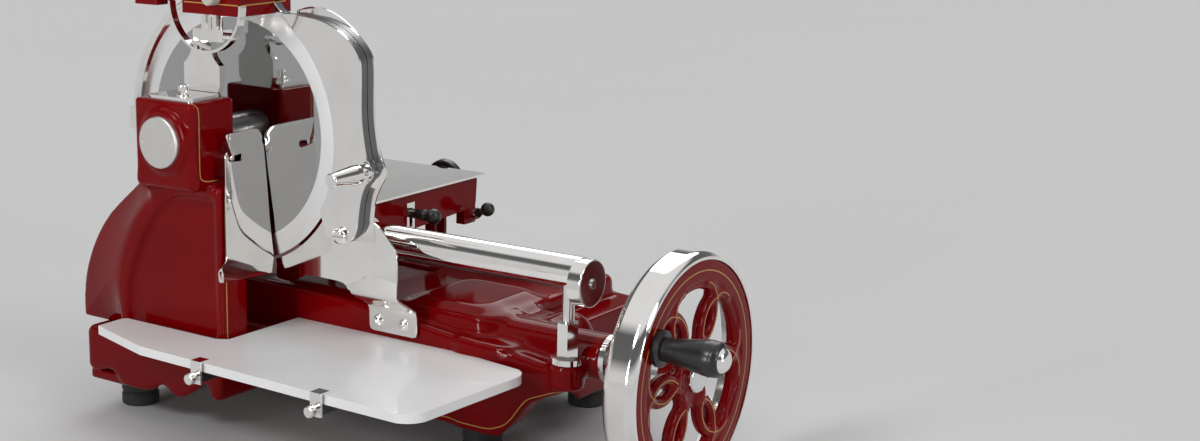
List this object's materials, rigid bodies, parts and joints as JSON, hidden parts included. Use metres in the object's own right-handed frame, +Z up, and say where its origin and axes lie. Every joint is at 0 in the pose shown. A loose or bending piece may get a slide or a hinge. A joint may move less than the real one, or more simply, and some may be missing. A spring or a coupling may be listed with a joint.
{
  "type": "meat slicer",
  "caption": "Hand crank meat slicer: ornate flywheel drives a round blade by gears and chain while a carriage with a polished table slides past it.",
  "frame": {"origin": "middle of the outer box at the floor, under the rubber feet", "axes": "+X toward the flywheel along the carriage's travel, +Y away from the user's side of the blade, +Z up"},
  "size_m": [0.8239, 0.5024, 0.528],
  "materials": {
    "red_enamel": "deep red gloss enamel with fine gold lines",
    "white_enamel": "smooth white gloss",
    "polished_plate": "mirror polished",
    "blade_steel": "mirror polished with a ground edge",
    "machined_steel": "turned steel",
    "gear_iron": "oiled cast iron",
    "bronze": "bearing bronze",
    "black_plastic": "satin black",
    "rubber": "matt black rubber",
    "stone": "grey abrasive stone"
  },
  "bodies": {
    "frame": {"base_casting": "red_enamel", "rubber_feet": "rubber", "column_casting": "red_enamel", "chain_case_cover": "red_enamel", "bearing_cap": "polished_plate", "column_lid": "polished_plate", "fixing_screws": "polished_plate", "blade_guard_ring": "polished_plate", "sharpener_housing": "red_enamel", "sharpener_stem": "polished_plate", "sharpener_arch": "polished_plate", "gauge_sheet": "polished_plate", "lower_plate": "polished_plate", "deflector": "polished_plate", "slice_tray": "white_enamel", "tray_brackets": "black_plastic", "tray_clips": "polished_plate", "guide_tube": "polished_plate", "tube_end_collar": "polished_plate", "post_rod": "polished_plate", "post_nut_and_washer": "polished_plate", "rear_rail": "machined_steel", "housing_ring": "polished_plate", "bushes_and_stud": "bronze", "drive_chain": "machined_steel", "cover_pivot_bolt": "polished_plate"},
    "wheel": {"flywheel_casting": "red_enamel", "flywheel_rim": "polished_plate", "hub_cap": "polished_plate", "handle_spindle": "black_plastic", "main_shaft": "machined_steel", "main_shaft_bevels": "gear_iron"},
    "grip": {"handle_grip": "black_plastic", "handle_end_cap": "polished_plate"},
    "cross_drive": {"cross_shaft": "machined_steel", "bevel_gear": "gear_iron", "drive_sprocket": "gear_iron"},
    "cutter": {"blade": "blade_steel", "blade_shaft": "machined_steel", "blade_nut": "machined_steel", "blade_sprocket": "gear_iron"},
    "jack": {"jack_shaft": "machined_steel", "jack_bevel": "gear_iron"},
    "crank": {"crank_gear": "gear_iron"},
    "rod": {"connecting_rod": "machined_steel"},
    "carriage": {"carriage": "red_enamel", "carriage_fittings": "polished_plate"},
    "roller": {"carriage_roller": "machined_steel"},
    "table": {"meat_table": "polished_plate"},
    "feed": {"feed_screw": "machined_steel", "feed_handwheel": "black_plastic"},
    "lock_lever": {"locking_lever": "black_plastic"},
    "release": {"release_lever": "black_plastic"},
    "cover": {"gauge_cover": "polished_plate"},
    "cover_handle": {"cover_knob": "polished_plate"},
    "front_stone": {"front_stone": "stone"},
    "rear_stone": {"rear_stone": "stone"},
    "left_clip_screw": {"clip_knob_left": "polished_plate"},
    "right_clip_screw": {"clip_knob_right": "polished_plate"},
    "oil_lid_knob": {"lid_knob": "polished_plate"}
  },
  "joints": [
    {"name": "flywheel_spin", "type": "hinge", "parent": "frame", "child": "wheel", "pos_m": [0.33615, 0.01425, 0.131], "axis": [1, 0, 0], "continuous": true},
    {"name": "handle_spin", "type": "hinge", "parent": "wheel", "child": "grip", "pos_m": [0.35615, -0.06423, 0.17902], "axis": [1, 0, 0], "continuous": true},
    {"name": "cross_shaft_spin", "type": "hinge", "parent": "frame", "child": "cross_drive", "pos_m": [-0.26385, -0.06375, 0.131], "axis": [0, 1, 0], "continuous": true},
    {"name": "blade_spin", "type": "hinge", "parent": "frame", "child": "cutter", "pos_m": [-0.21385, -0.06375, 0.337], "axis": [0, 1, 0], "continuous": true},
    {"name": "jack_shaft_spin", "type": "hinge", "parent": "frame", "child": "jack", "pos_m": [0.00815, 0.01425, 0.08], "axis": [0, 0, 1], "continuous": true},
    {"name": "crank_spin", "type": "hinge", "parent": "frame", "child": "crank", "pos_m": [0.00815, 0.12425, 0.1], "axis": [0, 0, 1], "continuous": true},
    {"name": "rod_swing", "type": "hinge", "parent": "crank", "child": "rod", "pos_m": [-0.06885, 0.12425, 0.144], "axis": [0, 0, 1], "continuous": true},
    {"name": "carriage_slide", "type": "slide", "parent": "frame", "child": "carriage", "axis": [1, 0, 0], "range_m": [0, 0.154]},
    {"name": "roller_spin", "type": "hinge", "parent": "carriage", "child": "roller", "pos_m": [-0.09385, 0.15125, 0.1803], "axis": [0, 1, 0], "continuous": true},
    {"name": "table_feed", "type": "slide", "parent": "carriage", "child": "table", "axis": [0, 1, 0], "range_m": [0, 0.1]},
    {"name": "feed_screw_turn", "type": "hinge", "parent": "table", "child": "feed", "pos_m": [-0.11685, 0.13625, 0.248], "axis": [0, 1, 0], "continuous": true},
    {"name": "locking_lever_slide", "type": "slide", "parent": "carriage", "child": "lock_lever", "axis": [0, 0, 1], "range_m": [-0.006, 0.002]},
    {"name": "release_lever_turn", "type": "hinge", "parent": "carriage", "child": "release", "pos_m": [-0.05385, 0.16725, 0.218], "axis": [1, 0, 0], "range_deg": [-25, 25]},
    {"name": "gauge_cover_swing", "type": "hinge", "parent": "frame", "child": "cover", "pos_m": [-0.05286, -0.06375, 0.238], "axis": [0, 1, 0], "range_deg": [0, 30]},
    {"name": "cover_knob_turn", "type": "hinge", "parent": "cover", "child": "cover_handle", "pos_m": [-0.01735, -0.08375, 0.3115], "axis": [0, 1, 0], "continuous": true},
    {"name": "front_stone_spin", "type": "hinge", "parent": "frame", "child": "front_stone", "pos_m": [-0.18385, -0.07375, 0.492], "axis": [0, 1, 0], "continuous": true},
    {"name": "rear_stone_spin", "type": "hinge", "parent": "frame", "child": "rear_stone", "pos_m": [-0.18385, -0.05375, 0.492], "axis": [0, 1, 0], "continuous": true},
    {"name": "left_clip_screw_turn", "type": "hinge", "parent": "frame", "child": "left_clip_screw", "pos_m": [-0.12085, -0.22375, 0.1045], "axis": [0, 1, 0], "continuous": true},
    {"name": "right_clip_screw_turn", "type": "hinge", "parent": "frame", "child": "right_clip_screw", "pos_m": [0.04915, -0.22875, 0.1045], "axis": [0, 1, 0], "continuous": true},
    {"name": "lid_knob_turn", "type": "hinge", "parent": "frame", "child": "oil_lid_knob", "pos_m": [-0.21285, -0.14775, 0.39], "axis": [0, 0, 1], "continuous": true}
  ],
  "couplings": [
    {"joint": "cross_shaft_spin", "follows": "flywheel_spin", "ratio": 1},
    {"joint": "blade_spin", "follows": "flywheel_spin", "ratio": 2.7778},
    {"joint": "jack_shaft_spin", "follows": "flywheel_spin", "ratio": 1},
    {"joint": "crank_spin", "follows": "flywheel_spin", "ratio": -0.22222},
    {"joint": "rod_swing", "follows": "flywheel_spin", "ratio": 0.22222},
    {"joint": "roller_spin", "follows": "carriage_slide", "rad_per_m": 83.333},
    {"joint": "feed_screw_turn", "follows": "table_feed", "rad_per_m": 314.16}
  ]
}
